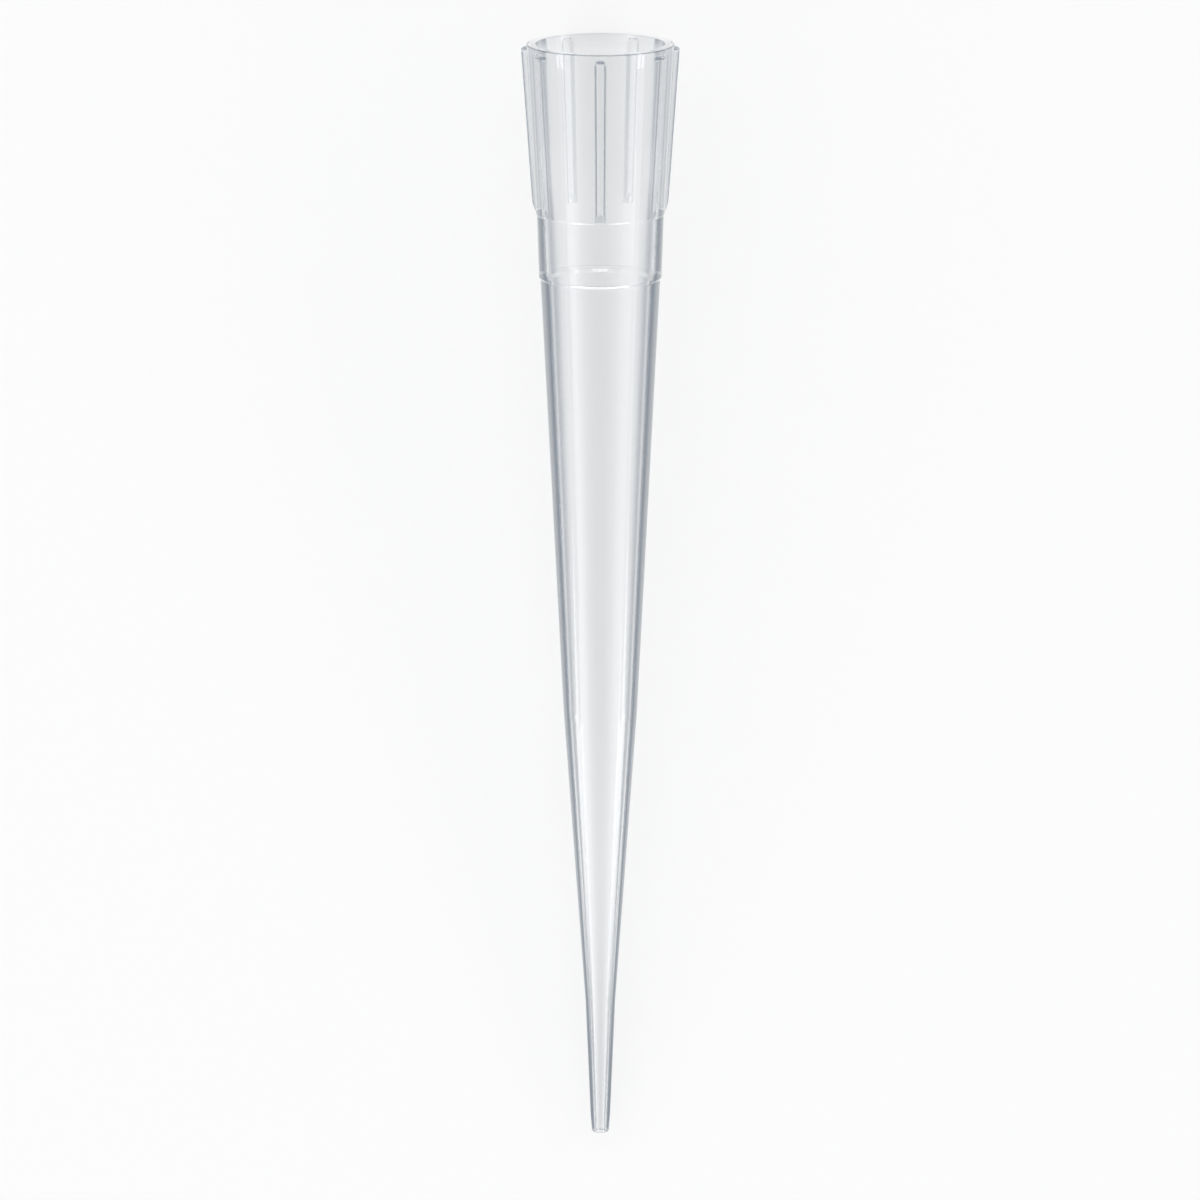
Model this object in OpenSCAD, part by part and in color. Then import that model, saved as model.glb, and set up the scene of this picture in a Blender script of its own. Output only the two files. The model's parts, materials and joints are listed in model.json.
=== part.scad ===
// A 200 microlitre pipette tip, moulded in one piece from clear polypropylene.
// It lies on its side, on two of its ribs and the break between its two cones,
// with its mouth towards +Y and its nose towards -Y. Millimetres.
//
// The tip is drawn about the Z axis with its mouth at z = 0 and its nose at
// z = tip_len, so that every z is a depth below the rim. It is laid down last.

/* [Lengths] */
// Length of the ribbed collar, from the rim
collar_len = 7.87; // [7:0.01:10]
// Length of the plain neck under the collar
neck_len = 2.92; // [1:0.01:6]
// Length of the small step under the neck
step_len = 0.11; // [0.05:0.01:0.4]
// Length of the upper cone
upper_cone_len = 20.2; // [12:0.1:30]
// Length of the lower cone
lower_cone_len = 13.7; // [8:0.1:20]
// Length of the slender point
point_len = 5.4; // [3:0.1:10]
// Length of the nose at the point's end
nose_len = 0.8; // [0.4:0.05:2]

/* [Bore] */
// Bore across the mouth, at the rim
mouth_d = 5.92; // [5.85:0.01:6.6]
// Bore at the foot of the mouth's lead-in
lead_in_d = 5.72; // [5.5:0.01:5.84]
// Depth of the lead-in
lead_in_len = 0.8; // [0.4:0.05:2]
// Bore of the straight land that seals on a pipette's nozzle
seal_d = 5.33; // [5.2:0.01:5.45]
// Depth of the land's upper edge below the rim
seal_depth = 4.4; // [2.5:0.1:4.8]
// Length of the land
seal_len = 1.5; // [1:0.1:2]
// Bore at the foot of the socket
socket_d = 4.82; // [4.7:0.01:5]
// Bore at the head of the liquid column
column_d = 4.62; // [4.3:0.01:4.68]
// Bore at the break between the cones
middle_bore_d = 2.79; // [2.4:0.01:3.2]
// Bore at the head of the point
point_bore_d = 0.94; // [0.7:0.01:1.2]
// Bore at the head of the nose
nose_bore_d = 0.47; // [0.46:0.01:0.6]
// Bore of the orifice
orifice_d = 0.45; // [0.3:0.01:0.45]

/* [Walls] */
// Wall at the rim
rim_wall = 0.43; // [0.35:0.01:0.6]
// Wall at the foot of the collar
collar_wall = 0.38; // [0.34:0.01:0.6]
// Height of the fine shoulder at the foot of the collar
shoulder_h = 0.03; // [0.02:0.01:0.08]
// Wall at the foot of the neck
neck_wall = 0.4; // [0.34:0.01:0.6]
// Height of the step under the neck
step_h = 0.065; // [0.03:0.005:0.12]
// Wall at the break between the cones
middle_wall = 0.28; // [0.22:0.01:0.5]
// Wall along the point
point_wall = 0.215; // [0.18:0.005:0.3]
// Wall at the nose's end
nose_wall = 0.16; // [0.14:0.01:0.18]
// Height of the fine step in the bore at the break between the cones
bore_break_h = 0.03; // [0.01:0.01:0.1]
// Rounding of the rim's outer edge
rim_edge_r = 0.06; // [0.02:0.01:0.15]
// Rounding of the mouth's edge
mouth_edge_r = 0.04; // [0.02:0.01:0.1]
// Rounding of the nose's outer edge
nose_edge_r = 0.08; // [0.02:0.01:0.1]

/* [Ribs] */
// Number of ribs round the collar
rib_count = 7; // [6:1:10]
// Width of a rib at the rim
rib_w = 0.51; // [0.45:0.01:0.8]
// Width of a rib at its foot
rib_end_w = 0.43; // [0.36:0.01:0.44]
// Height of a rib's crest over the collar at the rim
rib_h = 0.34; // [0.3:0.01:0.6]
// Height of a rib's crest over the collar at its foot
rib_end_h = 0.205; // [0.18:0.005:0.28]
// Rounding of the crest's two edges
rib_edge_r = 0.16; // [0.05:0.01:0.17]
// Rounding of a rib's head
rib_head_r = 0.24; // [0.1:0.01:0.28]
// Gap between the rim's plane and a rib's head
rib_drop = 0.14; // [0.06:0.01:0.4]
// Slope of a rib's run-out into the collar, from the tip's axis
run_out_angle = 28; // [15:1:45]

/* [Hidden] */
$fn = 144;
ARC_STEPS = 3;                // straight faces that stand for a fine edge's rounding
SHOULDER_SLOPE = 45;          // slope of the collar's shoulder
BORE_LAG = 0.06;              // the bore steps in this far below the neck's foot
BREAK_LAG = 0.4;              // and this far below the break between the cones
BORE_STEP_LEN = 0.1;          // length of each step in the bore
HEAD_TRIM = 0.03;             // the crest's plane trims this much off a rib's rounded head
RUN_OUT_SINK = 0.012;         // a run-out ends this far under the collar's wall
SPARE = 1;                    // how far a cutting shape reaches past what it cuts

// Depths below the rim
neck_end = collar_len + neck_len;
cone_start = neck_end + step_len;
cone_break = cone_start + upper_cone_len;
point_start = cone_break + lower_cone_len;
nose_start = point_start + point_len;
tip_len = nose_start + nose_len;
shoulder_len = shoulder_h * tan(SHOULDER_SLOPE);

// The bore as [depth, radius], from the mouth to the orifice
bore_line = [
    [0, mouth_d / 2],
    [lead_in_len, lead_in_d / 2],
    [seal_depth, seal_d / 2],
    [seal_depth + seal_len, seal_d / 2],
    [neck_end + BORE_LAG, socket_d / 2],
    [neck_end + BORE_LAG + BORE_STEP_LEN, column_d / 2],
    [cone_break + BREAK_LAG, middle_bore_d / 2],
    [cone_break + BREAK_LAG + BORE_STEP_LEN, middle_bore_d / 2 - bore_break_h],
    [point_start, point_bore_d / 2],
    [nose_start, nose_bore_d / 2],
    [tip_len, orifice_d / 2],
];
function bore_r(depth) = lookup(depth, bore_line);

// The outside as [depth, radius]: a wall's thickness over the bore
rim_r = mouth_d / 2 + rim_wall;
collar_r = bore_r(collar_len) + collar_wall;
neck_r = bore_r(neck_end) + neck_wall;
nose_r = orifice_d / 2 + nose_wall;
body_line = [
    [collar_len, collar_r],
    [collar_len + shoulder_len, collar_r - shoulder_h],
    [neck_end, neck_r],
    [cone_start, neck_r - step_h],
    [cone_break, bore_r(cone_break) + middle_wall],
    [point_start, bore_r(point_start) + point_wall],
    [nose_start, bore_r(nose_start) + point_wall],
];

// The ribs' crest runs straight from crest_r at the rim to crest_end_r at the collar's foot
crest_r = rim_r + rib_h;
crest_end_r = collar_r + rib_end_h;
crest_slope = atan((crest_r - crest_end_r) / collar_len);
crest_len = collar_len / cos(crest_slope);
flank_yaw = atan((rib_w - rib_end_w) / 2 / crest_len);
rib_root_r = collar_r - collar_wall / 2;
rib_pitch = 360 / rib_count;
// Two ribs stand the same way off the floor, so the first is turned half a pitch if it has to be
first_rib = rib_count % 2 == 0 ? rib_pitch / 2 : 0;

// How low the tip reaches under its axis, as [depth, distance]: a rib beside the floor, the rim,
// and each ring of the body
rib_shoulder = rib_drop + rib_head_r;
rib_rest_r = (crest_r - rib_shoulder * tan(crest_slope) - rib_edge_r) * cos(rib_pitch / 2)
    + (rib_w / 2 - rib_edge_r) * sin(rib_pitch / 2) + rib_edge_r;
hub_rests = [[rib_shoulder, rib_rest_r], [rim_edge_r, rim_r]];
// The axis leans down to the nose until both the hub and the body bear on the floor
lean = max([for (h = hub_rests) min([for (b = body_line) atan((h.y - b.y) / (b.x - h.x))])]);
lift = max([for (p = concat(hub_rests, body_line)) p.x * sin(lean) + p.y * cos(lean)]);
// The ends of the shadow that the leaning tip throws on the floor, from the rim's centre
mouth_reach = (rim_r - rim_edge_r) * sin(lean) + rim_edge_r * (1 - cos(lean));
nose_reach = (tip_len - nose_edge_r) * cos(lean) + (nose_r - nose_edge_r) * sin(lean) + nose_edge_r;

// Points on a rounded edge, from angle a0 to a1
function edge_points(centre, r, a0, a1) = [
    for (i = [0 : ARC_STEPS]) let (a = a0 + (a1 - a0) * i / ARC_STEPS)
        centre + r * [cos(a), sin(a)]
];

// The solid of revolution inside the outer wall
module body() {
    rotate_extrude()
        polygon(concat(
            [[0, 0]],
            edge_points([rim_r - rim_edge_r, rim_edge_r], rim_edge_r, -90, 0),
            [for (p = body_line) [p.y, p.x]],
            edge_points([nose_r - nose_edge_r, tip_len - nose_edge_r], nose_edge_r, 0, 90),
            [[0, tip_len]]
        ));
}

// The socket and the liquid column, which open at both ends
module bore() {
    rotate_extrude()
        polygon(concat(
            [[0, -SPARE], [mouth_d / 2 + mouth_edge_r, -SPARE], [mouth_d / 2 + mouth_edge_r, 0]],
            edge_points([mouth_d / 2 + mouth_edge_r, mouth_edge_r], mouth_edge_r, -90, -180),
            [for (p = bore_line) if (p.x > mouth_edge_r) [p.y, p.x]],
            [[orifice_d / 2, tip_len + SPARE], [0, tip_len + SPARE]]
        ));
}

// One flank of a rib with its rounded edge, at +X, as long as the crest. The crest lies in y = 0.
module flank(side) {
    depth = crest_r - rib_root_r;
    half_w = rib_w / 2;
    rotate([0, -side * flank_yaw, 0])
        mirror([side < 0 ? 1 : 0, 0, 0])
            translate([0, 0, -SPARE])
                linear_extrude(crest_len + 2 * SPARE) {
                    translate([-half_w - SPARE, -depth]) square([rib_w + SPARE, depth - rib_edge_r]);
                    translate([-half_w - SPARE, -depth]) square([rib_w + SPARE - rib_edge_r, depth]);
                    translate([half_w - rib_edge_r, -rib_edge_r]) circle(rib_edge_r);
                }
}

// The side view of a rib: its square root, rounded head and sloping run-out. The crest is open.
module rib_side() {
    over = rib_h + SPARE;
    foot_r = collar_r - RUN_OUT_SINK;
    head_r = crest_r - rib_shoulder * tan(crest_slope);
    polygon([
        [rib_root_r, rib_shoulder],
        [crest_r + over, rib_shoulder],
        [foot_r + over, collar_len - over / tan(run_out_angle)],
        [foot_r, collar_len],
        [rib_root_r, collar_len],
    ]);
    translate([rib_root_r, rib_drop]) square([head_r - rib_head_r + HEAD_TRIM - rib_root_r, rib_head_r]);
    translate([head_r - rib_head_r + HEAD_TRIM, rib_shoulder]) circle(rib_head_r);
}

// One rib, standing along +Y
module rib() {
    intersection() {
        rotate([90, 0, 90]) linear_extrude(rib_w, center = true) rib_side();
        translate([0, crest_r, 0]) rotate([crest_slope, 0, 0]) flank(1);
        translate([0, crest_r, 0]) rotate([crest_slope, 0, 0]) flank(-1);
    }
}

module pipette_tip() {
    color([0.87, 0.89, 0.91, 0.5])
        translate([0, (nose_reach - mouth_reach) / 2, lift])
            rotate([90 + lean, 0, 0])
                difference() {
                    union() {
                        body();
                        for (i = [0 : rib_count - 1])
                            rotate([0, 0, first_rib + i * rib_pitch]) rib();
                    }
                    bore();
                }
}

pipette_tip();
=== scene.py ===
"""Looks of a clear 200 microlitre pipette tip that lies on a white surface.

The tip is one moulding of clear polypropylene: a collar with seven ribs, a plain neck, two
cones, a slender point and a nose, round a tapered socket and a liquid column. Its skin is one
closed surface, worked out on a grid of rings round the axis and columns along it. Lengths on
the moulding are in millimetres, and lengths in the studio round it are in metres.
"""

import json
import logging
import math
from dataclasses import dataclass, field
from enum import Enum
from typing import Any

import bpy
import numpy as np
from mathutils import Matrix, Vector


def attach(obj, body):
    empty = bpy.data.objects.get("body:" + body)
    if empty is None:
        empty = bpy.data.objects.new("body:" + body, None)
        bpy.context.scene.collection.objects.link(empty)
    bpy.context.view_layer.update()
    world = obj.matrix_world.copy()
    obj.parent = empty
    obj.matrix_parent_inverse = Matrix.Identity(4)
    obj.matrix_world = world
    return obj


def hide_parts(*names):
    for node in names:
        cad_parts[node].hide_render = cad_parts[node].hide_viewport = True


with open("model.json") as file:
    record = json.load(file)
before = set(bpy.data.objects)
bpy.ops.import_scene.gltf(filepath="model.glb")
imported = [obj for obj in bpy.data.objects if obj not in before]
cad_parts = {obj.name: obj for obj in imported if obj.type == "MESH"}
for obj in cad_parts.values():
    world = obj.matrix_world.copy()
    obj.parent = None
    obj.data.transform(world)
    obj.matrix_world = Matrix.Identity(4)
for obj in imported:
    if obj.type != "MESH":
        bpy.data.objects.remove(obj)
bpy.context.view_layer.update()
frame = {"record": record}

LOG = logging.getLogger("pipette_tip")
MM = 0.001
NODE = "pipette_tip"
SLOT = "clear_polypropylene"
ACROSS = Vector((1.0, 0.0, 0.0))
CLEAR_BOUNCES = 40
GLOSSY_BOUNCES = 16
# Added to a length or an area, so that nothing is divided by nought
NO_STEP = 1e-12
NO_AREA = 1e-30

Array = np.ndarray
Colour = tuple[float, float, float, float]
Curve = tuple[tuple[float, float], ...]
Socket = bpy.types.NodeSocket


# ------------ where the tip lies


@dataclass(frozen=True)
class Pose:
    """Where the moulding's axis lies: the mouth's centre, and the direction out of it."""

    mouth: Vector
    out: Vector

    @classmethod
    def from_record(cls, record: dict[str, Any]) -> "Pose":
        """Reads the axis off the socket's mount, and the mouth where the rim's plane cuts it.

        Args:
            record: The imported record.

        Returns:
            The pose of the axis.
        """
        mounts = {m["name"]: m for m in record["mounts"]}
        out = Vector(mounts["socket"]["axis"]).normalized()
        seat = Vector(mounts["socket"]["pos_m"])
        rim = Vector(mounts["rim_face"]["pos_m"])
        return cls(mouth=seat + out * (rim - seat).dot(out), out=out)

    @property
    def up(self) -> Vector:
        """The direction of the topmost rib, square to the axis."""
        return ACROSS.cross(self.out).normalized()

    def place(self, points: Array) -> Array:
        """Carries points from millimetres on the moulding to metres in the row frame."""
        return np.array(self.mouth) + MM * self.turn(points)

    def turn(self, vectors: Array) -> Array:
        """Turns vectors (across, towards the topmost rib, down the axis) to the row frame."""
        axes = np.array([tuple(ACROSS), tuple(self.up), tuple(-self.out)])
        return vectors @ axes


# ------------ the moulding's form


@dataclass(frozen=True)
class Corner:
    """One corner of the wall's section: its depth, its radius and its rounding."""

    depth: float
    radius: float
    rounding: float


@dataclass(frozen=True)
class Wall:
    """The section of the tip's wall, as a closed line of corners.

    It runs down the outside from the rim to the nose, and back up the bore to the mouth. The
    collar ends in a fine chamfer, and the bore has two fine steps.
    """

    # Depths below the rim
    collar_len: float = 7.87
    neck_end: float = 10.79
    cone_start: float = 10.90
    cone_break: float = 31.10
    point_start: float = 44.80
    nose_start: float = 50.20
    tip_len: float = 50.999
    # Radii of the outside
    rim_r: float = 3.39
    collar_r: float = 2.94352
    neck_r: float = 2.81309
    step_h: float = 0.065
    break_r: float = 1.69281
    point_r: float = 0.685
    nose_r: float = 0.45
    end_r: float = 0.385
    # Where the chamfer starts, above the collar's foot and out, and ends, below it and in
    chamfer_above: float = 0.015
    chamfer_out: float = 0.0009
    chamfer_below: float = 0.039
    chamfer_in: float = 0.032
    # The bore
    mouth_r: float = 2.96
    lead_in_len: float = 0.8
    lead_in_r: float = 2.86
    seal_r: float = 2.665
    seal_depth: float = 4.4
    seal_len: float = 1.5
    socket_r: float = 2.41
    column_r: float = 2.31
    bore_lag: float = 0.06
    bore_step_len: float = 0.17
    break_lag: float = 0.4
    break_bore_r: float = 1.395
    break_step_h: float = 0.03
    point_bore_r: float = 0.47
    nose_bore_r: float = 0.235
    orifice_r: float = 0.225
    # Roundings of the corners
    rim_rounding: float = 0.06
    chamfer_rounding: float = 0.07
    chamfer_end_rounding: float = 0.03
    step_rounding: float = 0.12
    cone_rounding: float = 12.0
    nose_rounding: float = 4.0
    end_rounding: float = 0.08
    orifice_rounding: float = 0.03
    break_step_rounding: float = 0.06
    socket_step_rounding: float = 0.04
    seal_rounding: float = 8.0
    lead_in_rounding: float = 0.6
    mouth_rounding: float = 0.04

    def outside(self) -> list[Corner]:
        """Lists the corners of the outside.

        Returns:
            The corners, from the rim down to the nose's end.
        """
        chamfer_start = self.collar_len - self.chamfer_above
        chamfer_end = self.collar_len + self.chamfer_below
        return [
            Corner(0.0, self.rim_r, self.rim_rounding),
            Corner(chamfer_start, self.collar_r + self.chamfer_out, self.chamfer_rounding),
            Corner(chamfer_end, self.collar_r - self.chamfer_in, self.chamfer_end_rounding),
            Corner(self.neck_end, self.neck_r, self.step_rounding),
            Corner(self.cone_start, self.neck_r - self.step_h, self.step_rounding),
            Corner(self.cone_break, self.break_r, self.cone_rounding),
            Corner(self.point_start, self.point_r, self.cone_rounding),
            Corner(self.nose_start, self.nose_r, self.nose_rounding),
            Corner(self.tip_len, self.end_r, self.end_rounding),
        ]

    def inside(self) -> list[Corner]:
        """Lists the corners of the bore.

        Returns:
            The corners, from the orifice back up to the mouth.
        """
        step = self.bore_step_len
        socket_end = self.neck_end + self.bore_lag
        column_break = self.cone_break + self.break_lag
        below_break_r = self.break_bore_r - self.break_step_h
        return [
            Corner(self.tip_len, self.orifice_r, self.orifice_rounding),
            Corner(self.nose_start, self.nose_bore_r, self.nose_rounding),
            Corner(self.point_start, self.point_bore_r, self.cone_rounding),
            Corner(column_break + step, below_break_r, self.break_step_rounding),
            Corner(column_break, self.break_bore_r, self.break_step_rounding),
            Corner(socket_end + step, self.column_r, self.socket_step_rounding),
            Corner(socket_end, self.socket_r, self.socket_step_rounding),
            Corner(self.seal_depth + self.seal_len, self.seal_r, self.seal_rounding),
            Corner(self.seal_depth, self.seal_r, self.seal_rounding),
            Corner(self.lead_in_len, self.lead_in_r, self.lead_in_rounding),
            Corner(0.0, self.mouth_r, self.mouth_rounding),
        ]


@dataclass(frozen=True)
class Ribs:
    """The collar's ribs: bars with rounded edges, a rounded head and a sloping run-out.

    Attributes:
        edge_share: The most that the rounding of a crest's edges takes of half the width.
        draft: How far a flank leans out to its root.
        head_trim: How far the crest's plane cuts into the rounding of the head.
        plan_r: The rounding of the head, seen from above.
        scoop: How fast the run-out rises to both sides of its middle.
        free: A height over the rim's wall that no rib reaches.
    """

    count: int = 7
    width: float = 0.51
    end_width: float = 0.43
    height: float = 0.34
    end_height: float = 0.205
    edge_r: float = 0.16
    edge_share: float = 0.8
    root_r: float = 0.05
    draft: float = 0.01
    head_r: float = 0.24
    head_trim: float = 0.03
    plan_r: float = 0.24
    drop: float = 0.23
    run_out_angle: float = math.radians(28.0)
    run_out_sink: float = 0.012
    scoop: float = 0.2
    blend: float = 0.03
    free: float = 1.0

    @property
    def shoulder(self) -> float:
        """The depth at which a rib's head has its full height."""
        return self.drop + self.head_r

    def crest(self, wall: Wall, depth: Array) -> Array:
        """How far off the axis the crest lies, in a straight line down the collar."""
        start, end = wall.rim_r + self.height, wall.collar_r + self.end_height
        return start + (end - start) * depth / wall.collar_len

    def half_width(self, wall: Wall, depth: Array) -> Array:
        """Half a rib's width, which narrows evenly down the collar.

        At the head it follows a quarter circle in plan.

        Args:
            wall: The wall's section.
            depth: Depths below the rim.

        Returns:
            Half the width at each depth.
        """
        half = 0.5 * (self.width + (self.end_width - self.width) * depth / wall.collar_len)
        rise = np.clip(self.plan_r - (depth - self.drop), 0.0, self.plan_r)
        return half - self.plan_r + np.sqrt(self.plan_r**2 - rise**2)

    def cap(self, wall: Wall, depth: Array, across: Array) -> Array:
        """How far off the axis a rib may reach at its two ends.

        The head is a quarter circle, and there is no rib above it. The run-out is a straight
        slope that ends a little under the wall and rises evenly to both sides of its middle.

        Args:
            wall: The wall's section.
            depth: Depths below the rim, of shape (rings, 1).
            across: Distances across the rib, of shape (rings, columns).

        Returns:
            The distances from the axis, of the same shape as across.
        """
        centre = self.crest(wall, np.array(self.shoulder)) - self.head_r + self.head_trim
        rise = np.clip(self.shoulder - depth, 0.0, self.head_r)
        head = centre + np.sqrt(self.head_r**2 - rise**2)
        head = np.where(depth >= self.shoulder, wall.rim_r + self.free, head)
        foot = wall.collar_r - self.run_out_sink
        run_out = foot + (wall.collar_len - depth) * math.tan(self.run_out_angle)
        run_out = run_out + self.scoop * np.abs(across)
        return np.where(depth < self.drop, 0.0, np.minimum(head, run_out))


@dataclass(frozen=True)
class Grid:
    """How finely the skin is divided.

    Attributes:
        turn_step: The most that one cell of a rounding turns.
        room_share: The most that a rounding takes of the straights beside it.
        support: How far inside its ends a straight gets a ring that keeps its shading true.
        short_inset: The same for a short straight, as a share of its length.
        head_insets: How far above a rib's head two rings lie.
        run_out_reach: How many lengths of a run-out its rings cover.
    """

    turn_step: float = math.radians(11.0)
    least_cells: int = 2
    room_share: float = 0.45
    support: float = 0.03
    short_inset: float = 0.15
    long_step: float = 4.0
    share_digits: int = 7
    crest_cells: int = 2
    edge_cells: int = 7
    root_cells: int = 4
    gap_cells: int = 14
    head_rings: int = 10
    head_insets: tuple[float, float] = (0.002, 0.03)
    run_out_rings: int = 16
    run_out_reach: float = 1.5
    crease: float = math.radians(38.0)


@dataclass
class Section:
    """The rings of the skin: the depth and radius of each, and what it belongs to."""

    depth: Array
    radius: Array
    on_collar: Array
    in_bore: Array


def arc_points(
    spot: Array, to_prev: Array, to_next: Array, reach: float, turn: float, grid: Grid
) -> Array:
    """Rounds one corner with an arc that touches both of its straights.

    Args:
        spot: The corner, as a depth and a radius.
        to_prev: The unit vector to the corner before.
        to_next: The one to the corner after.
        reach: How far from the corner the arc starts and ends.
        turn: The angle by which the line turns.
        grid: How finely to divide.

    Returns:
        The points, of shape (n, 2).
    """
    radius = reach / math.tan(turn / 2.0)
    middle = (to_prev + to_next) / np.linalg.norm(to_prev + to_next)
    centre = spot + middle * math.hypot(radius, reach)
    spoke = (spot + to_prev * reach - centre) / radius
    last = spot + to_next * reach - centre
    side = np.sign(spoke[0] * last[1] - spoke[1] * last[0])
    cells = max(grid.least_cells, math.ceil(turn / grid.turn_step))
    angle = side * np.linspace(0.0, turn, cells + 1)
    across = spoke[0] * np.cos(angle) - spoke[1] * np.sin(angle)
    upward = spoke[0] * np.sin(angle) + spoke[1] * np.cos(angle)
    return centre + radius * np.stack([across, upward], axis=1)


def straight_points(start: Array, goal: Array, extra: Array, grid: Grid) -> Array:
    """Divides one straight between two arcs, without its ends.

    It gets a point a small step inside each of its ends, and points at even steps between.

    Args:
        start: Where it starts, as a depth and a radius.
        goal: Where it ends.
        extra: More points on it, as depths.
        grid: How finely to divide.

    Returns:
        The points, of shape (n, 2).
    """
    length = float(np.linalg.norm(goal - start))
    inset = min(grid.support, grid.short_inset * length)
    along = [
        np.linspace(0.0, 1.0, 2 + int(length / grid.long_step))[1:-1],
        np.array([inset, length - inset]) / length,
    ]
    if len(extra):
        along.append((extra - start[0]) / (goal[0] - start[0]))
    shares = np.unique(np.round(np.concatenate(along), grid.share_digits))
    shares = shares[(shares > 0.0) & (shares < 1.0)]
    return start + shares[:, None] * (goal - start)


def rounded_loop(corners: list[Corner], grid: Grid, extra: list[Array]) -> list[Array]:
    """Rounds each corner of a closed line and divides what lies between.

    A corner's arc starts and ends at its rounding times the tangent of half the turn from
    the corner, or nearer where the straights beside it are short.

    Args:
        corners: The corners in order. The last joins the first.
        grid: How finely to divide.
        extra: For the straight after each corner, more points on it, as depths.

    Returns:
        For each corner, the points of its arc and of the straight after it, of shape (n, 2).
    """
    spots = np.array([(c.depth, c.radius) for c in corners])
    rounding = np.array([c.rounding for c in corners])
    before, after = np.roll(spots, 1, axis=0) - spots, np.roll(spots, -1, axis=0) - spots
    before_len, after_len = np.linalg.norm(before, axis=1), np.linalg.norm(after, axis=1)
    to_prev, to_next = before / before_len[:, None], after / after_len[:, None]
    room = grid.room_share * np.minimum(before_len, after_len)
    half_open = 0.5 * np.arccos(np.clip(np.sum(to_prev * to_next, axis=1), -1.0, 1.0))
    turn = math.pi - 2.0 * half_open
    reach = np.minimum(rounding * np.tan(turn / 2.0), room)
    starts, ends = spots + to_prev * reach[:, None], spots + to_next * reach[:, None]
    goals = np.roll(starts, -1, axis=0)
    pieces = []
    for i in range(len(corners)):
        arc = arc_points(spots[i], to_prev[i], to_next[i], reach[i], turn[i], grid)
        pieces.append(np.vstack([arc, straight_points(ends[i], goals[i], extra[i], grid)]))
    return pieces


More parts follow.
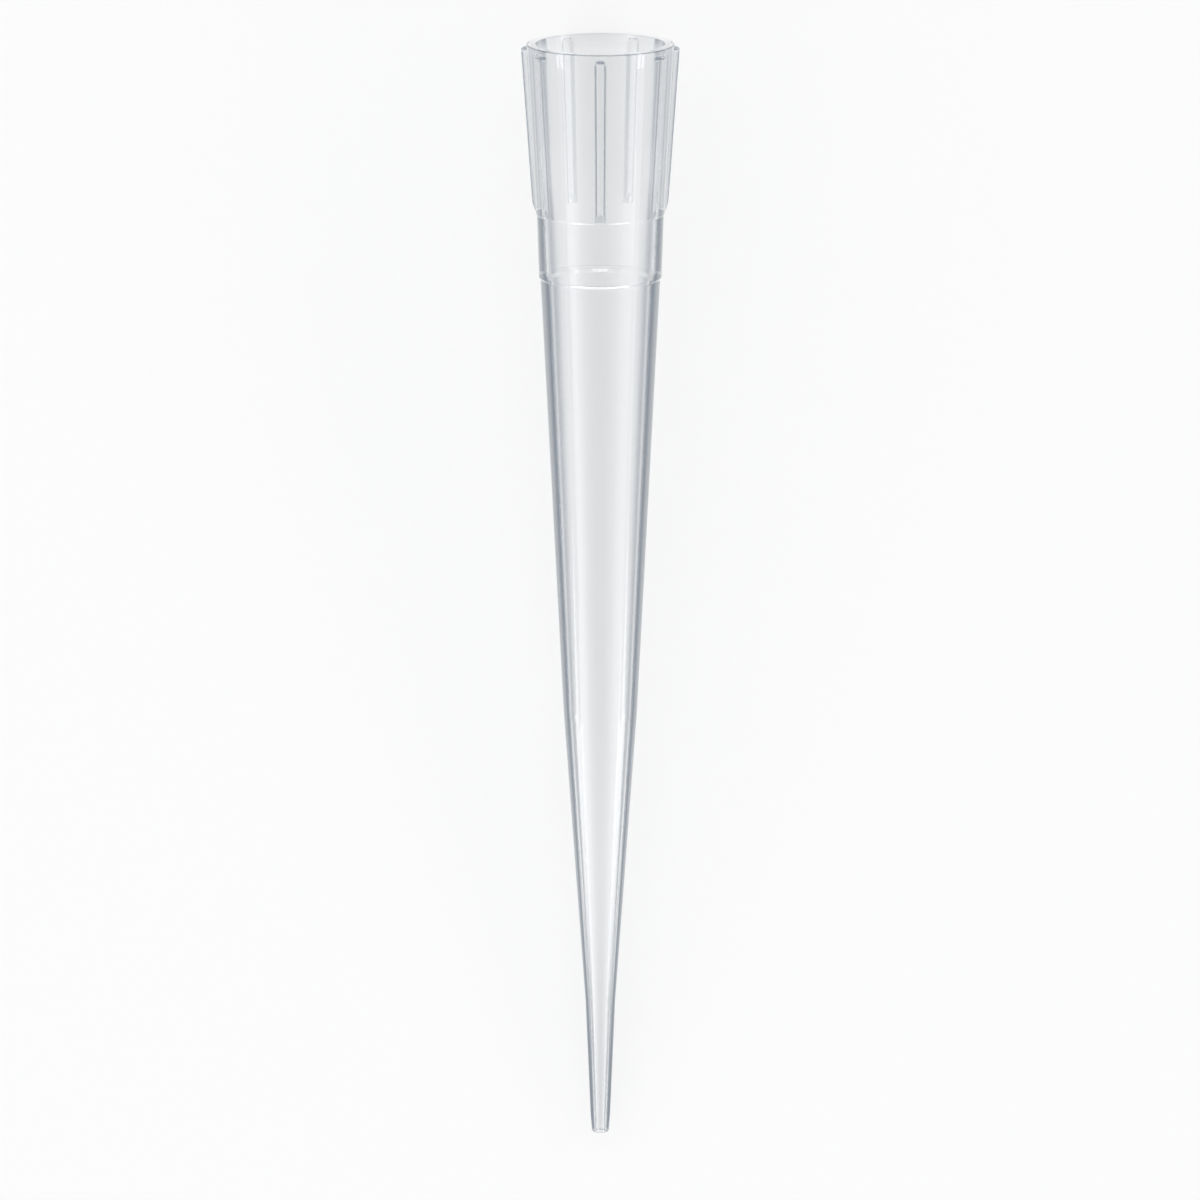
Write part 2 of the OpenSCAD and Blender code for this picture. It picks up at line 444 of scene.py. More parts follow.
@dataclass
class Moulding:
    """The pipette tip's skin."""

    pose: Pose
    wall: Wall = field(default_factory=Wall)
    ribs: Ribs = field(default_factory=Ribs)
    grid: Grid = field(default_factory=Grid)

    def collar_depths(self) -> Array:
        """Works out which rings a rib's head and run-out need.

        Returns:
            The depths of the rings.
        """
        ribs, grid = self.ribs, self.grid
        quarter = np.linspace(0.0, math.pi / 2.0, grid.head_rings)
        head = ribs.drop + ribs.head_r * (1.0 - np.cos(quarter))
        run_out_len = (ribs.end_height + ribs.run_out_sink) / math.tan(ribs.run_out_angle)
        lengths = np.linspace(grid.run_out_reach, 0.0, grid.run_out_rings)
        run_out = self.wall.collar_len - lengths * run_out_len
        above = ribs.drop - np.array(grid.head_insets)
        return np.concatenate([above, head, run_out[:-1]])

    def section(self) -> Section:
        """Works out the skin's rings.

        Returns:
            The rings, down the outside and back up the bore.
        """
        outside, inside = self.wall.outside(), self.wall.inside()
        corners = outside + inside
        extra = [np.array([])] * len(corners)
        extra[0] = self.collar_depths()
        pieces = rounded_loop(corners, self.grid, extra)
        line = np.vstack(pieces)
        place = np.arange(len(line))
        bore_start = sum(len(piece) for piece in pieces[: len(outside)])
        return Section(line[:, 0], line[:, 1], place < len(pieces[0]), place >= bore_start)

    def rib_side(self, base: Array, depth: Array) -> tuple[Array, Array]:
        """Half of the collar's cross-section round one rib, from its middle to the next gap.

        It runs along the flat crest, round its edge, down the flank, round the hollow at the
        rib's root, and along the wall to the middle of the gap. The root's arc touches the
        flank and the wall: its centre lies one root radius off both.

        Args:
            base: The wall's radius at each ring.
            depth: The depth of each ring.

        Returns:
            Distances across the rib and off the axis, each of shape (rings, columns).
        """
        ribs, grid = self.ribs, self.grid
        half = ribs.half_width(self.wall, depth)[:, None]
        crest = ribs.crest(self.wall, depth)[:, None]
        base = base[:, None]
        edge_r = np.minimum(ribs.edge_r, ribs.edge_share * half)
        flat = np.linspace(0.0, 1.0, grid.crest_cells + 1)[:-1]
        flat_x = flat * (half - edge_r)
        flat_y = crest + 0.0 * flat_x
        edge = np.linspace(0.0, math.pi / 2.0, grid.edge_cells + 1)
        edge_x = half - edge_r + edge_r * np.sin(edge)
        edge_y = crest - edge_r + edge_r * np.cos(edge)
        root_x = half + ribs.draft + ribs.root_r
        root_y = np.sqrt((base + ribs.root_r) ** 2 - root_x**2)
        lean = np.arctan2(root_x, root_y)
        arc = math.pi + np.linspace(0.0, 1.0, grid.root_cells + 1) * (math.pi / 2.0 - lean)
        arc_x = root_x + ribs.root_r * np.cos(arc)
        arc_y = root_y + ribs.root_r * np.sin(arc)
        gap = np.linspace(0.0, 1.0, grid.gap_cells + 1)[1:]
        gap_turn = lean + (math.pi / ribs.count - lean) * gap
        x = np.hstack([flat_x, edge_x, arc_x])
        y = np.hstack([flat_y, edge_y, arc_y])
        y = smooth_lower(y, ribs.cap(self.wall, depth[:, None], x), ribs.blend)
        y = np.maximum(y, np.sqrt(np.maximum(base**2 - x**2, 0.0)))
        x = np.hstack([x, base * np.sin(gap_turn)])
        y = np.hstack([y, base * np.cos(gap_turn)])
        return x, y

    def points(self) -> Array:
        """The skin's points: across, towards the topmost rib, and down the axis.

        Every ring is the collar's cross-section: the half round one rib, its mirror image,
        and turns of both by whole pitches. A ring off the collar keeps the columns' angles
        on a plain circle.

        Returns:
            An array of shape (rings, columns, 3), in millimetres.
        """
        section = self.section()
        depth = np.where(section.on_collar, section.depth, self.wall.collar_len)
        x, y = self.rib_side(section.radius, depth)
        angle, reach = np.arctan2(x, y), np.hypot(x, y)
        pitch = 2.0 * math.pi / self.ribs.count
        angle = np.hstack([angle, pitch - angle[:, -2:0:-1]])
        reach = np.hstack([reach, reach[:, -2:0:-1]])
        reach = np.where(section.on_collar[:, None], reach, section.radius[:, None])
        foot = int(np.flatnonzero(section.on_collar)[-1])
        angle = np.where(section.on_collar[:, None], angle, angle[foot][None, :])
        angle = np.hstack([angle + pitch * i for i in range(self.ribs.count)])
        reach = np.tile(reach, (1, self.ribs.count))
        across, upward = reach * np.sin(angle), reach * np.cos(angle)
        return np.stack([across, upward, 0.0 * reach + section.depth[:, None]], axis=2)

    def build(self, material: bpy.types.Material) -> bpy.types.Object:
        """Makes the tip's object, which stands for the CAD node.

        Args:
            material: The finish of the whole tip.

        Returns:
            The object, at the origin, with its place in its mesh.
        """
        points = self.points()
        piece = skin_object("clear_tip", self.pose.place(points), self.grid.crease)
        # The marks place the finish's painted shade on the skin.
        marks = Marks(self.wall, self.ribs).on_skin(self.section(), points)
        for name, value in marks.items():
            mark = piece.data.attributes.new(name, "FLOAT", "POINT")
            mark.data.foreach_set("value", value.ravel())
        piece.data.materials.append(material)
        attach(piece, "root")
        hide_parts(NODE)
        LOG.info("clear_tip: %d rings by %d columns", *points.shape[:2])
        return piece


def smooth_lower(a: Array, b: Array, width: float) -> Array:
    """The lower of two heights, with a parabola of the given width across their crossing."""
    share = np.clip(0.5 + 0.5 * (b - a) / width, 0.0, 1.0)
    return b + (a - b) * share - width * share * (1.0 - share)


# ------------ the skin's marks, which place painted shade


@dataclass(frozen=True)
class Fade:
    """A fade over a range of values, level at both ends."""

    low: float
    high: float

    def rise(self, value: Array) -> Array:
        """Goes from 0 at low to 1 at high."""
        share = np.clip((value - self.low) / (self.high - self.low), 0.0, 1.0)
        return share * share * (3.0 - 2.0 * share)

    def fall(self, value: Array) -> Array:
        """Goes from 1 at low to 0 at high."""
        return 1.0 - self.rise(value)


@dataclass
class Places:
    """Where the skin's points are and how they face.

    Attributes:
        height: How high each point stands over the wall, as a share of a rib's end height.
        turned: 0 where a point faces out from the axis, and 1 where it faces square to that.
        slope: How far each point faces along the axis, from 0 to 1.
    """

    depth: Array
    in_bore: Array
    on_rib: Array
    height: Array
    turned: Array
    slope: Array


@dataclass(frozen=True)
class Marks:
    """The marks that place the finish's painted shade on the skin: how strong each is, and its
    fades.

    "wall", "neck", "collar" and "nose" place painted shade bands on the walls outside, "bore"
    on the walls inside, "flank" and "head" place painted shade on the ribs, and "lip" places
    thin painted shade lines on fine edges and a painted shadow line at the nose's end. A tone
    is a mark's strength, and a slope or a turn says how a point faces, as Places does.
    """

    wall: Wall
    ribs: Ribs
    # What counts as a rib: a point this far over the wall, and this far above the foot
    rib_least: float = 0.004
    rib_end: float = 0.02
    # The walls' painted shade bands
    level_slope: Fade = Fade(0.55, 0.8)
    collar_shade_tone: float = 0.2
    collar_start: float = 0.3
    mouth_depth: Fade = Fade(0.15, 0.45)
    mouth_slope: float = 0.5
    nose_depth: Fade = Fade(38.0, 50.0)
    nose_end_reach: tuple[float, float] = (0.12, 0.05)
    nose_end_loss: float = 0.5
    # The ribs' painted shade
    flank_turn: Fade = Fade(0.06, 0.2)
    flank_root: float = 0.5
    head_slope: Fade = Fade(0.1, 0.35)
    # Painted shade lines on the roundings at the rim and the mouth
    lip_depth: float = 0.09
    lip_rise: Fade = Fade(0.05, 0.2)
    lip_fall: Fade = Fade(0.95, 0.999)
    rim_shade_tone: float = 0.9
    mouth_shade_tone: float = 0.45
    # Painted shade lines on the crest's edges
    edge_height: float = 0.5
    edge_slope: float = 0.35
    edge_rise: Fade = Fade(0.08, 0.18)
    edge_fall: Fade = Fade(0.3, 0.5)
    edge_shade_tone: float = 0.75
    # A painted shade line on the step in the bore and the corner outside, at the neck's foot
    step_reach: float = 0.08
    step_slope: float = 0.1
    step_rise: Fade = Fade(0.08, 0.2)
    step_fall: Fade = Fade(0.3, 0.45)
    step_shade_tone: float = 0.5
    # Painted shade on the ribs' run-outs
    run_out_len: float = 0.6
    run_out_slope: Fade = Fade(0.25, 0.4)
    run_out_shade_tone: float = 0.45
    # A painted shadow line at the nose's end
    nose_shadow_len: float = 0.1
    nose_shadow_slope: Fade = Fade(0.3, 0.6)

    def places(self, section: Section, points: Array) -> Places:
        """Works out where the skin's points are and how they face.

        Args:
            section: The skin's rings.
            points: The skin's points on the moulding.

        Returns:
            The places.
        """
        depth, base = section.depth[:, None], section.radius[:, None]
        normal = grid_normals(points)
        reach = np.hypot(points[..., 0], points[..., 1])
        radial = np.sum(normal[..., :2] * points[..., :2], axis=2) / reach
        on_rib = section.on_collar[:, None] & (reach > base + self.rib_least)
        on_rib &= depth < self.wall.collar_len - self.rib_end
        height = np.clip((reach - base) / self.ribs.end_height, 0.0, 1.0)
        slope = np.abs(normal[..., 2])
        return Places(depth, section.in_bore[:, None], on_rib, height, 1.0 - radial, slope)

    def walls(self, at: Places) -> dict[str, Array]:
        """Marks the round walls for painted shade bands, and nothing where they face along the
        axis.

        Outside, "neck" runs down to the neck's foot and is faint on the collar, "wall" runs
        on from there, and "nose" takes over from it towards the nose and weakens at the
        nose's end. "collar" is for the collar alone, from a little below the rim. Inside,
        "bore" is faint down to the collar's foot, and "wall" is for the mouth's first edge.

        Args:
            at: Where the points are and how they face.

        Returns:
            The marks by name.
        """
        first, last = self.nose_end_reach
        on_collar = at.depth < self.wall.collar_len
        on_neck = at.depth < self.wall.neck_end
        level = self.level_slope.rise(1.0 - at.slope) * ~at.on_rib
        level = level * np.where(on_collar, self.collar_shade_tone, 1.0)
        mouth = at.in_bore * self.mouth_depth.fall(at.depth) * (at.slope < self.mouth_slope)
        nose = self.nose_depth.rise(at.depth)
        nose_end = Fade(self.wall.tip_len - first, self.wall.tip_len - last)
        end = 1.0 - self.nose_end_loss * nose_end.rise(at.depth)
        return {
            "wall": np.where(at.in_bore, mouth, level * (1.0 - nose) * ~on_neck),
            "neck": np.where(at.in_bore, 0.0, level * on_neck),
            "collar": (level > 0.0) * ~at.in_bore * on_collar * (at.depth > self.collar_start),
            "bore": np.where(at.in_bore, level, 0.0),
            "nose": np.where(at.in_bore, 0.0, level * nose * end),
        }

    def rib_faces(self, at: Places) -> dict[str, Array]:
        """Marks the ribs' sides and heads for painted shade; on the sides it fades to their
        roots.

        Args:
            at: Where the points are and how they face.

        Returns:
            The marks by name.
        """
        head = at.on_rib & (at.depth < self.ribs.shoulder)
        share = self.flank_root + (1.0 - self.flank_root) * at.height
        return {
            "flank": at.on_rib * self.flank_turn.rise(at.turned) * share * ~head,
            "head": head * self.head_slope.rise(at.slope),
        }

    def lips(self, at: Places) -> Array:
        """Marks the fine edges for thin painted shade lines, each in its own strength.

        They are the roundings at the rim and the mouth, the crests' edges, the step in the
        bore at the neck's foot with the corner outside it, the ribs' run-outs and the
        nose's end, where the line is a painted shadow.

        Args:
            at: Where the points are and how they face.

        Returns:
            The mark, which is the strongest of all.
        """
        wall = self.wall
        rim = (at.depth < self.lip_depth) & ~at.on_rib
        rim = rim * np.where(at.in_bore, self.mouth_shade_tone, self.rim_shade_tone)
        rim = rim * (self.lip_rise.rise(at.slope) * self.lip_fall.fall(at.slope))
        edge = at.on_rib & (at.height > self.edge_height) & (at.slope < self.edge_slope)
        fold = self.edge_rise.rise(at.turned) * self.edge_fall.fall(at.turned)
        step_depth = wall.neck_end + 0.5 * wall.bore_lag
        step = (np.abs(at.depth - step_depth) < self.step_reach) & (at.slope > self.step_slope)
        line = self.step_rise.rise(at.slope) * self.step_fall.fall(at.slope)
        run_out = at.on_rib & (at.depth > wall.collar_len - self.run_out_len)
        # The painted shadow line at the nose's end
        end = ~at.in_bore & (at.depth > wall.tip_len - self.nose_shadow_len)
        lips = np.maximum(rim, edge * self.edge_shade_tone * fold)
        lips = np.maximum(lips, step * self.step_shade_tone * line)
        lips = np.maximum(lips, run_out * self.run_out_shade_tone * self.run_out_slope.rise(at.slope))
        return np.maximum(lips, end * self.nose_shadow_slope.rise(at.slope))

    def on_skin(self, section: Section, points: Array) -> dict[str, Array]:
        """Marks the whole skin for painted shade: each mark by its name, from 0 to 1 at every
        point.
        """
        at = self.places(section, points)
        return {**self.walls(at), **self.rib_faces(at), "lip": self.lips(at)}


# ------------ meshes


def steady_tangent(points: Array, axis: int) -> Array:
    """The direction of a closed grid's lines at each point.

    It is the slope of the parabola through a point and its two neighbours, so that a
    circle's tangents are true at uneven steps.

    Args:
        points: The grid, closed along both of its first two axes.
        axis: The axis along which the lines run.

    Returns:
        The tangents, of the same shape.
    """
    ahead = np.roll(points, -1, axis=axis) - points
    behind = points - np.roll(points, 1, axis=axis)
    step = np.linalg.norm(ahead, axis=2, keepdims=True) + NO_STEP
    last = np.linalg.norm(behind, axis=2, keepdims=True) + NO_STEP
    return ahead * last / step + behind * step / last


def grid_normals(points: Array) -> Array:
    """The outward unit normals of a closed grid's points."""
    normal = np.cross(steady_tangent(points, 0), steady_tangent(points, 1))
    return normal / (np.linalg.norm(normal, axis=2, keepdims=True) + NO_AREA)


def skin_object(name: str, points: Array, crease: float) -> bpy.types.Object:
    """Makes a closed skin from a grid that joins itself both ways.

    A corner is shaded with the smooth normal of its point, or with its face's own normal
    where the two differ by more than the crease.

    Args:
        name: The object's name.
        points: The grid's points, of shape (rings, columns, 3), in metres.
        crease: The angle past which an edge stays sharp, in radians.

    Returns:
        The object.
    """
    rings, columns = points.shape[:2]
    ring, column = np.indices((rings, columns))
    after, beside = (ring + 1) % rings, (column + 1) % columns
    corners = [(ring, column), (after, column), (after, beside), (ring, beside)]
    quads = np.stack([r * columns + c for r, c in corners], axis=2).reshape(-1, 4)
    flat = points.reshape(-1, 3)
    first, second, third, fourth = (flat[quads[:, i]] for i in range(4))
    face = np.cross(third - first, fourth - second)
    face /= np.linalg.norm(face, axis=1, keepdims=True) + NO_AREA
    smooth = grid_normals(points).reshape(-1, 3)[quads]
    agree = np.sum(smooth * face[:, None, :], axis=2, keepdims=True)
    corner_normals = np.where(agree > math.cos(crease), smooth, face[:, None, :])
    mesh = bpy.data.meshes.new(name)
    mesh.from_pydata(flat.tolist(), [], quads.tolist())
    mesh.polygons.foreach_set("use_smooth", np.ones(len(quads), bool))
    mesh.update()
    mesh.normals_split_custom_set(corner_normals.reshape(-1, 3).tolist())
    piece = bpy.data.objects.new(name, mesh)
    bpy.context.scene.collection.objects.link(piece)
    return piece


# ------------ finishes


class Nodes:
    """A short way to write a material's nodes."""

    def __init__(self, tree: bpy.types.NodeTree) -> None:
        """Empties the tree."""
        self.tree = tree
        tree.nodes.clear()

    def add(self, kind: str, **inputs: Any) -> bpy.types.Node:
        """Adds a node and sets or joins its inputs.

        Args:
            kind: The node's type.
            inputs: Values or outputs by the inputs' names, with underscores for spaces.

        Returns:
            The node.
        """
        node = self.tree.nodes.new(kind)
        for key, value in inputs.items():
            self.put(node, key.replace("_", " "), value)
        return node

    def put(self, node: bpy.types.Node, socket: str | int, value: Any) -> None:
        """Sets a node's input to a value, or joins it to another node's output.

        Args:
            node: The node.
            socket: The input's name or number.
            value: The value or the output.
        """
        if isinstance(value, Socket):
            self.tree.links.new(value, node.inputs[socket])
        else:
            node.inputs[socket].default_value = value

    def number(self, operation: str, first: Any, second: Any) -> Socket:
        """Works out one number from two.

        Args:
            operation: What a Math node does with them.
            first: The first number, or the output that gives it.
            second: The second.

        Returns:
            The number.
        """
        node = self.add("ShaderNodeMath")
        node.operation = operation
        self.put(node, 0, first)
        self.put(node, 1, second)
        return node.outputs["Value"]

    def product(self, first: Any, second: Any) -> Socket:
        """Multiplies two numbers."""
        return self.number("MULTIPLY", first, second)

    def highest(self, first: Any, second: Any) -> Socket:
        """The higher of two numbers."""
        return self.number("MAXIMUM", first, second)

    def curve(self, value: Any, stops: Curve, ease: str = "LINEAR") -> Socket:
        """Turns a number from 0 to 1 into another.

        Args:
            value: The number.
            stops: The curve's stops, each a place and a height.
            ease: How the curve runs between them.

        Returns:
            The curve's height.
        """
        node = self.add("ShaderNodeValToRGB", Fac=value)
        node.color_ramp.interpolation = ease
        elements = node.color_ramp.elements
        for place, _ in stops[2:]:
            elements.new(place)
        for element, (place, height) in zip(elements, stops):
            element.position = place
            element.color = (height, height, height, 1.0)
        return node.outputs["Color"]

    def mark(self, name: str) -> Socket:
        """Reads one of the skin's marks.

        Args:
            name: The mark's name.

        Returns:
            The mark.
        """
        node = self.add("ShaderNodeAttribute")
        node.attribute_name = name
        return node.outputs["Fac"]

    def shade(self, value: Any, stops: Curve, name: str) -> Socket:
        """A curve of a number, as far as the skin has one of its marks."""
        return self.product(self.curve(value, stops), self.mark(name))

    def mix(self, share: Any, low: Any, high: Any) -> Socket:
        """Mixes two colours.

        Args:
            share: The share of the second.
            low: The first colour, or the output that gives it.
            high: The second.

        Returns:
            The colour.
        """
        node = self.add("ShaderNodeMix")
        node.data_type = "RGBA"
        colours = [i for i, s in enumerate(node.inputs) if s.type == "RGBA"]
        for place, value in zip([0, *colours], [share, low, high]):
            self.put(node, place, value)
        return next(s for s in node.outputs if s.type == "RGBA")


@dataclass(frozen=True)
class ClearPolypropyleneWithPaintedShade:
    """Clear moulded polypropylene: glossy and faintly grey, with painted shade where the skin
    turns away.

    The light that passes gets painted shade at the skin: dark bands at the walls' edges, dark
    lines on ribs and fine edges, and a painted shadow line at the nose's end. A curve for each
    of the skin's marks says how much, by how far the skin turns away from the line of sight.

    Attributes:
        face: The colour of skin that faces the line of sight, where there is no painted shade.
        turned: The darkest painted shade, where a curve is at 1.
        behind: How strongly the painted shade on ribs and lips shows, by the skins crossed as a
            share of crossings.
        refraction: The refractive index of the gloss, which is polypropylene's own.
        bending: The index for what shows through, which thin walls hardly bend.
        absorbed: The colour that light takes inside the plastic, by density for each metre.
    """

    # face and turned are the two ends of the painted shade. The curves below say where it falls
    # for each mark.
    face: Colour = (0.992, 0.993, 0.995, 1.0)
    turned: Colour = (0.21, 0.25, 0.30, 1.0)
    facing_blend: float = 0.5
    crossings: float = 4.0
    behind: Curve = ((0.0, 1.0), (0.25, 0.25), (0.5, 0.6), (0.75, 0.6))
    outside: Curve = (
        (0.41, 0.0), (0.43, 0.12), (0.45, 0.65), (0.475, 1.0), (0.53, 0.9), (0.60, 0.66),
        (0.66, 0.66), (0.75, 0.86), (0.85, 1.0),
    )
    inside: Curve = (
        (0.30, 0.0), (0.38, 0.1), (0.44, 0.28), (0.50, 0.5), (0.58, 0.56), (0.635, 0.45),
        (0.665, 0.08), (0.69, 0.0),
    )
    nose: Curve = (
        (0.0, 0.2), (0.012, 0.2), (0.032, 0.14), (0.065, 0.13), (0.12, 0.15), (0.165, 0.20),
        (0.20, 0.40), (0.24, 0.60), (0.30, 0.82), (0.40, 0.95), (0.47, 1.0),
    )
    neck: Curve = ((0.49, 0.0), (0.54, 0.8), (0.60, 1.0), (0.70, 0.75), (0.85, 0.8))
    collar: Curve = (
        (0.585, 0.0), (0.61, 0.3), (0.635, 0.3), (0.66, 0.04), (0.72, 0.12), (0.80, 0.22),
    )
    flank: Curve = ((0.0, 0.4), (0.06, 0.45), (0.14, 0.75), (0.22, 1.0))
    head: Curve = ((0.0, 1.0), (0.36, 1.0), (0.46, 0.55), (0.7, 0.55))
    refraction: float = 1.49
    bending: float = 1.04
    gloss: float = 0.02
    smoothest: float = 0.04
    roughest: float = 0.09
    flow_scale: float = 900.0
    flow_stretch: float = 0.02
    flow_detail: float = 3.0
    flow_height: float = 5.0e-7
    absorbed: Colour = (0.47, 0.51, 0.56, 1.0)
    density: float = 210.0

    def material(self) -> bpy.types.Material:
        """Makes the material.

        The melt's flow leaves long faint streaks, less than a micrometre high.

        Returns:
            The material.
        """
        material = bpy.data.materials.new(SLOT)
        material.use_nodes = True
        nodes = Nodes(material.node_tree)
        out = nodes.add("ShaderNodeOutputMaterial")
        streaks = self.streaks(nodes)
        gloss = nodes.add(
            "ShaderNodeMapRange", Value=streaks, To_Min=self.smoothest, To_Max=self.roughest
        )
        relief = nodes.add("ShaderNodeBump", Height=streaks, Distance=self.flow_height)
        # The base colour carries the painted shade of the skin's marks.
        skin = nodes.add(
            "ShaderNodeBsdfPrincipled",
            Base_Color=self.colour(nodes),
            Roughness=gloss.outputs["Result"],
            Normal=relief.outputs["Normal"],
            IOR=self.bending,
            Transmission_Weight=1.0,
            Coat_Weight=1.0,
            Coat_IOR=self.refraction,
            Coat_Roughness=self.gloss,
        )
        depth = nodes.add(
            "ShaderNodeVolumeAbsorption", Color=self.absorbed, Density=self.density
        )
        nodes.put(out, "Surface", skin.outputs["BSDF"])
        nodes.put(out, "Volume", depth.outputs["Volume"])
        return material

    def streaks(self, nodes: Nodes) -> Socket:
        """Makes the long faint streaks down the tip.

        Args:
            nodes: The material's nodes.

        Returns:
            The streaks, from 0 to 1.
        """
        place = nodes.add("ShaderNodeTexCoord").outputs["Object"]
        scale = (1.0, self.flow_stretch, 1.0)
        along = nodes.add("ShaderNodeMapping", Vector=place, Scale=scale).outputs["Vector"]
        noise = nodes.add(
            "ShaderNodeTexNoise", Vector=along, Scale=self.flow_scale, Detail=self.flow_detail
        )
        return noise.outputs["Fac"]

    def colour(self, nodes: Nodes) -> Socket:
        """Works out the painted shade on what passes: darker at walls' edges, on ribs and on
        lips.

        The painted shade on ribs and lips shows most faintly at the second skin that light
        meets.

        Args:
            nodes: The material's nodes.

        Returns:
            The colour, with its painted shade.
        """
        facing = nodes.add("ShaderNodeLayerWeight", Blend=self.facing_blend).outputs["Facing"]
        curves = {
            "bore": self.inside, "nose": self.nose, "neck": self.neck, "collar": self.collar,
        }
        # Painted shade bands at the walls' edges
        walls = nodes.shade(facing, self.outside, "wall")
        for mark, stops in curves.items():
            walls = nodes.number("ADD", walls, nodes.shade(facing, stops, mark))
        crossed = nodes.add("ShaderNodeLightPath").outputs["Transmission Depth"]
        share = nodes.number("DIVIDE", crossed, self.crossings)
        # Painted shade on the ribs, and thin painted shade lines on fine edges, with a painted
        # shadow at the nose's end
        flank = nodes.shade(facing, self.flank, "flank")
        head = nodes.shade(facing, self.head, "head")
        edges = nodes.highest(flank, nodes.highest(head, nodes.mark("lip")))
        edges = nodes.product(edges, nodes.curve(share, self.behind))
        return nodes.mix(nodes.highest(walls, edges), self.face, self.turned)


# ------------ the studio


@dataclass(frozen=True)
class WhiteFloor:
    """A wide white surface that keeps the tip's shadow and shows as white to the camera.

    Its lift is the glow that shows on top of the light it gives back.
    """

    size: float = 4.0
    colour: Colour = (0.17, 0.17, 0.17, 1.0)
    lift: float = 0.782

    def build(self) -> bpy.types.Object:
        """Makes the floor at the height that the tip lies on.

        Returns:
            The floor.
        """
        half = self.size / 2.0
        mesh = bpy.data.meshes.new("floor")
        corners = [(-half, -half), (half, -half), (half, half), (-half, half)]
        mesh.from_pydata([(x, y, 0.0) for x, y in corners], [], [(0, 1, 2, 3)])
        floor = bpy.data.objects.new("floor", mesh)
        bpy.context.scene.collection.objects.link(floor)
        material = bpy.data.materials.new("white_floor")
        material.use_nodes = True
        nodes = Nodes(material.node_tree)
        out = nodes.add("ShaderNodeOutputMaterial")
        path = nodes.add("ShaderNodeLightPath")
        seen = nodes.highest(path.outputs["Is Camera Ray"], path.outputs["Is Glossy Ray"])
        shown = nodes.highest(seen, path.outputs["Is Transmission Ray"])
        level = nodes.product(shown, self.lift)
        matte = nodes.add("ShaderNodeBsdfDiffuse", Color=self.colour)
        glow = nodes.add("ShaderNodeEmission", Strength=level)
        both = nodes.add("ShaderNodeAddShader")
        nodes.put(both, 0, matte.outputs[0])
        nodes.put(both, 1, glow.outputs[0])
        nodes.put(out, "Surface", both.outputs[0])
        floor.data.materials.append(material)
        LOG.info("floor: %.1f m wide", self.size)
        return floor


class Side(Enum):
    """The side of the tip that a light hangs over, as a level direction from it."""

    LEFT = (-1.0, 0.0)
    RIGHT = (1.0, 0.0)
    NOSE = (0.0, -1.0)
    MOUTH = (0.0, 1.0)
    NOSE_LEFT = (-0.766, -0.643)
    NOSE_RIGHT = (0.766, -0.643)
    MOUTH_LEFT = (-0.82, 0.572)
    MOUTH_RIGHT = (0.82, 0.572)


@dataclass(frozen=True)
class SoftStrip:
    """A long soft light that faces the tip and fades across its short way.

    Attributes:
        elevation_deg: How high it stands over the floor, seen from the tip.
        spread_deg: How much its short way takes up, seen from the tip.
        fade: How bright it is, from 0 to 1, at shares of its short way from the lower edge.
    """

    name: str
    side: Side
    elevation_deg: float
    spread_deg: float
    radiance: float
    length: float
    fade: Curve = ((0.0, 0.0), (0.1, 1.0), (0.9, 1.0), (1.0, 0.0))
    distance: float = 0.6

    def build(self) -> bpy.types.Object:
        """Hangs the strip at its elevation over its side, with its long way level.

        A lamp's power is its radiance times pi times its area.

        Returns:
            The lamp.
        """
        elevation = math.radians(self.elevation_deg)
        width = 2.0 * self.distance * math.tan(math.radians(self.spread_deg) / 2.0)
        light = bpy.data.lights.new(self.name, "AREA")
        light.shape = "RECTANGLE"
        light.size = width
        light.size_y = self.length
        light.energy = self.radiance * math.pi * width * self.length
        self.dress(light)
        across, along = self.side.value
        level = Vector((across, along, 0.0)).normalized()
        back = level * math.cos(elevation) + Vector((0.0, 0.0, math.sin(elevation)))
        long_way = Vector((along, -across, 0.0)).normalized()
        turn = Matrix((long_way.cross(back), long_way, back)).transposed().to_4x4()
        obj = bpy.data.objects.new(self.name, light)
        obj.matrix_world = Matrix.Translation(back * self.distance) @ turn
        bpy.context.scene.collection.objects.link(obj)
        LOG.info("%s: %.0f degrees up", self.name, self.elevation_deg)
        return obj

    def dress(self, light: bpy.types.Light) -> None:
        """Gives the lamp its fade.

        Args:
            light: The lamp's data.
        """
        light.use_nodes = True
        nodes = Nodes(light.node_tree)
        out = nodes.add("ShaderNodeOutputLight")
        place = nodes.add("ShaderNodeNewGeometry")
        share = nodes.add("ShaderNodeSeparateXYZ", Vector=place.outputs["Parametric"])
        fade = nodes.curve(share.outputs["X"], self.fade, "EASE")
        glow = nodes.add("ShaderNodeEmission", Strength=fade)
        nodes.put(out, "Surface", glow.outputs["Emission"])


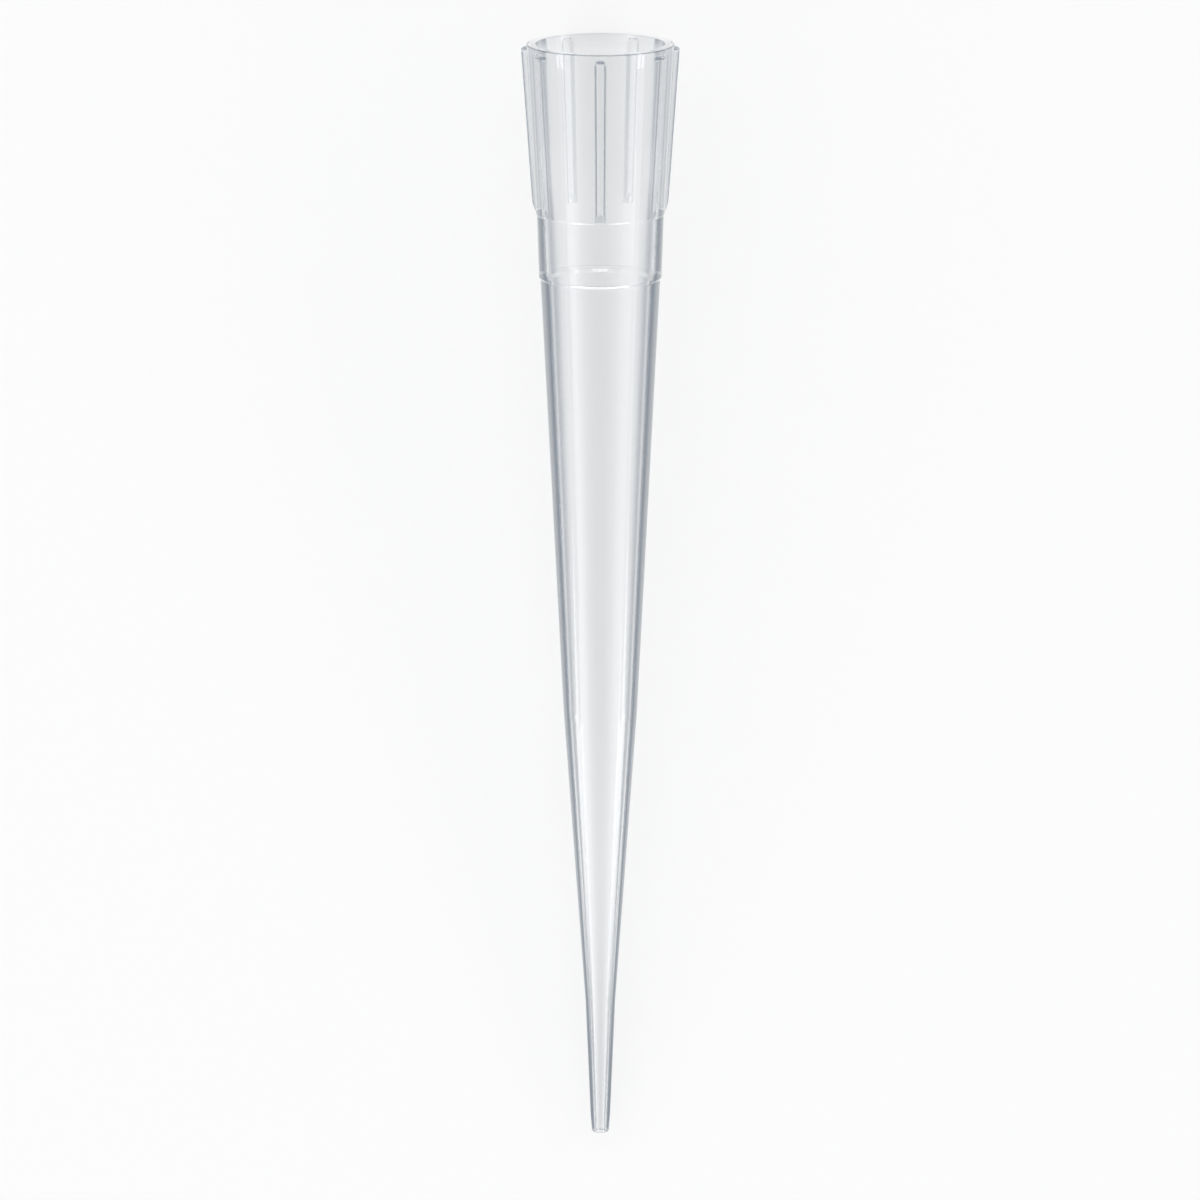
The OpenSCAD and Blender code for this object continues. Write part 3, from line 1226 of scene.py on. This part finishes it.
@dataclass(frozen=True)
class Studio:
    """A light tent, softer overhead than at its sides, with soft strips for highlights."""

    overhead: Colour = (0.36, 0.37, 0.385, 1.0)
    level: Colour = (0.62, 0.63, 0.65, 1.0)
    backdrop: Colour = (0.98, 0.98, 0.98, 1.0)
    # Each with its side, elevation, spread, radiance, length and fade
    strips: tuple[SoftStrip, ...] = (
        SoftStrip("window_left", Side.LEFT, 52.0, 50.0, 1.85, 1.2, (
            (0.0, 0.0), (0.12, 0.7), (0.24, 1.0), (0.42, 0.5), (0.65, 0.2), (1.0, 0.0),
        )),
        SoftStrip("strip_right", Side.RIGHT, 24.0, 22.0, 1.95, 1.2, (
            (0.0, 0.0), (0.15, 0.95), (0.55, 1.0), (1.0, 0.0),
        )),
        SoftStrip("strip_nose", Side.NOSE, 8.5, 13.0, 11.0, 1.0, (
            (0.0, 0.0), (0.1, 1.0), (0.85, 1.0), (1.0, 0.0),
        )),
        SoftStrip("strip_nose_left", Side.NOSE_LEFT, 9.0, 16.0, 4.0, 0.5),
        SoftStrip("strip_nose_right", Side.NOSE_RIGHT, 9.0, 16.0, 4.0, 0.5),
        SoftStrip("strip_mouth", Side.MOUTH, 43.0, 7.0, 7.0, 0.5),
        SoftStrip("strip_mouth_left", Side.MOUTH_LEFT, 20.0, 10.0, 3.5, 0.5),
        SoftStrip("strip_mouth_right", Side.MOUTH_RIGHT, 20.0, 10.0, 3.5, 0.5),
    )

    def build(self) -> None:
        """Sets the world and hangs the strips.

        The world goes evenly from level to overhead with the height that a ray looks to.
        The camera itself sees a plain white backdrop.
        """
        world = bpy.data.worlds.new("light_tent")
        world.use_nodes = True
        bpy.context.scene.world = world
        nodes = Nodes(world.node_tree)
        out = nodes.add("ShaderNodeOutputWorld")
        look = nodes.add("ShaderNodeTexCoord")
        height = nodes.add("ShaderNodeSeparateXYZ", Vector=look.outputs["Generated"])
        fade = nodes.add("ShaderNodeValToRGB", Fac=height.outputs["Z"])
        fade.color_ramp.elements[0].color = self.level
        fade.color_ramp.elements[1].color = self.overhead
        seen = nodes.add("ShaderNodeLightPath").outputs["Is Camera Ray"]
        shown = nodes.mix(seen, fade.outputs["Color"], self.backdrop)
        sky = nodes.add("ShaderNodeBackground", Color=shown, Strength=1.0)
        nodes.put(out, "Surface", sky.outputs["Background"])
        for strip in self.strips:
            strip.build()


@dataclass(frozen=True)
class TopCamera:
    """A camera over the tip that leans to its mouth and sees a little way into it.

    It looks at aim_depth_mm down the tip's axis and aside_mm to its left.
    """

    lean: float = math.radians(11.25)
    distance: float = 0.7
    lens: float = 456.5
    sensor: float = 36.0
    aim_depth_mm: float = 25.916
    aside_mm: float = 0.016
    near: float = 0.01
    far: float = 20.0

    def build(self, pose: Pose) -> bpy.types.Object:
        """Makes the scene's camera, with the mouth at the top of the picture.

        Args:
            pose: Where the tip's axis lies.

        Returns:
            The camera.
        """
        target = pose.mouth - pose.out * (self.aim_depth_mm * MM)
        target -= ACROSS * (self.aside_mm * MM)
        back = (pose.up * math.cos(self.lean) + pose.out * math.sin(self.lean)).normalized()
        above = back.cross(ACROSS).normalized()
        camera = bpy.data.cameras.new("camera")
        camera.lens = self.lens
        camera.sensor_width = self.sensor
        camera.clip_start = self.near
        camera.clip_end = self.far
        obj = bpy.data.objects.new("camera", camera)
        turn = Matrix((ACROSS, above, back)).transposed().to_4x4()
        obj.matrix_world = Matrix.Translation(target + back * self.distance) @ turn
        bpy.context.scene.collection.objects.link(obj)
        bpy.context.scene.camera = obj
        LOG.info("camera: %.2f m off, %.1f mm lens", self.distance, self.lens)
        return obj


def main() -> None:
    """Builds the tip and the studio round it."""
    logging.basicConfig(level=logging.INFO, format="%(name)s: %(message)s")
    scene = bpy.context.scene
    scene.view_settings.view_transform = "Standard"
    scene.cycles.max_bounces = CLEAR_BOUNCES
    scene.cycles.transmission_bounces = CLEAR_BOUNCES
    scene.cycles.glossy_bounces = GLOSSY_BOUNCES
    pose = Pose.from_record(frame["record"])
    TopCamera().build(pose)
    Moulding(pose).build(ClearPolypropyleneWithPaintedShade().material())
    WhiteFloor().build()
    Studio().build()


if __name__ == "__main__":
    main()
